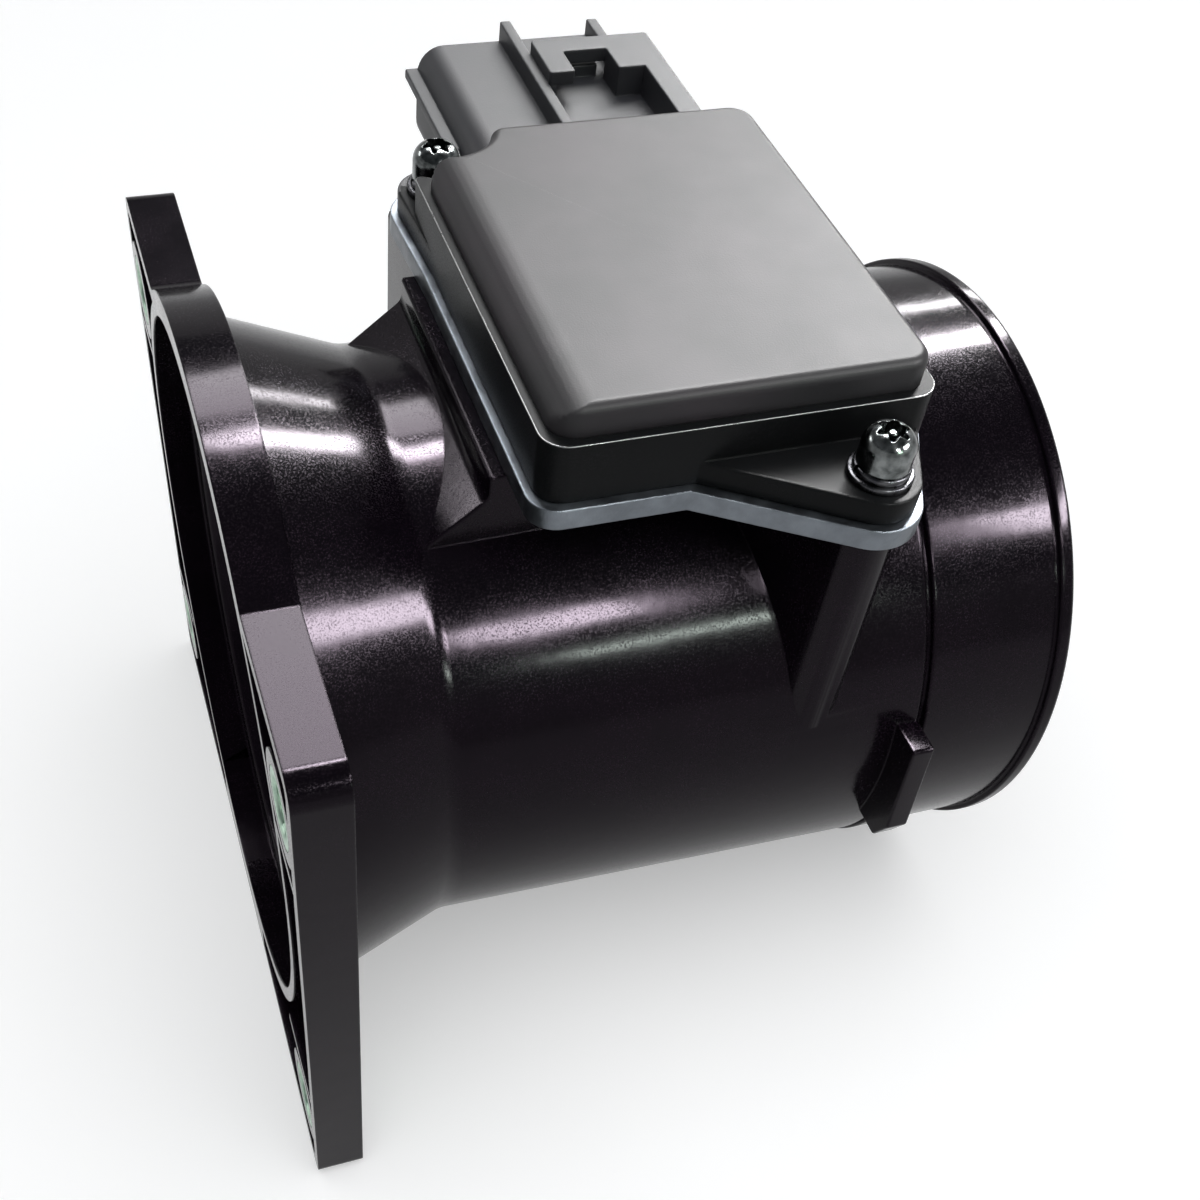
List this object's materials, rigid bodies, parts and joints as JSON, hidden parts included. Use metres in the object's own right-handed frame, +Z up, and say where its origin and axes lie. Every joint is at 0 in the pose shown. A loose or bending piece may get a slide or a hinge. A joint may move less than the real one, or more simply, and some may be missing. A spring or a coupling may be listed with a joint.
{
  "type": "mass airflow sensor",
  "caption": "Air duct with a bolt-down intake flange, a lipped hose outlet and a sensor case on top with a plug socket at its side.",
  "frame": {"origin": "centre of the intake mouth, on the duct axis at the flange's intake face", "axes": "+X along the air stream to the outlet, +Y to the wiring connector, +Z up through the sensor case"},
  "size_m": [0.1014, 0.109, 0.1044],
  "materials": {
    "housing": "glossy black glass-filled nylon with a fine speckle",
    "bush": "zinc plated and passivated, faint green",
    "insert": "plain",
    "seal": "matt",
    "plate": "die cast, plain",
    "case": "satin black",
    "lid": "matt dark grey with a fine grain",
    "board": "white ceramic",
    "chip": "matt",
    "duct": "satin black",
    "terminal": "tin plated",
    "prong": "nickel plated",
    "element": "platinum film, bright",
    "bead": "glass coated",
    "screw": "dark bright plating"
  },
  "bodies": {
    "root": {"housing": "housing", "flange_bush_near_top": "bush", "flange_bush_near_bottom": "bush", "flange_bush_far_top": "bush", "flange_bush_far_bottom": "bush", "thread_insert_near": "insert", "thread_insert_far": "insert", "plate_seal": "seal", "lid_bead": "seal", "base_plate": "plate", "module_case": "case", "lid": "lid", "circuit_board": "board", "signal_chip": "chip", "driver_chip": "chip", "capacitor_a": "chip", "capacitor_b": "chip", "trim_resistor": "chip", "bypass_duct": "duct", "terminal_1": "terminal", "terminal_2": "terminal", "terminal_3": "terminal", "terminal_4": "terminal", "terminal_5": "terminal", "prong_1": "prong", "prong_2": "prong", "prong_3": "prong", "prong_4": "prong", "bead_lead_a": "prong", "bead_lead_b": "prong", "hot_element": "element", "cold_element": "element", "temp_bead": "bead", "screw_near": "screw", "screw_far": "screw", "washer_near": "screw", "washer_far": "screw", "spring_washer_near": "screw", "spring_washer_far": "screw"}
  },
  "joints": []
}
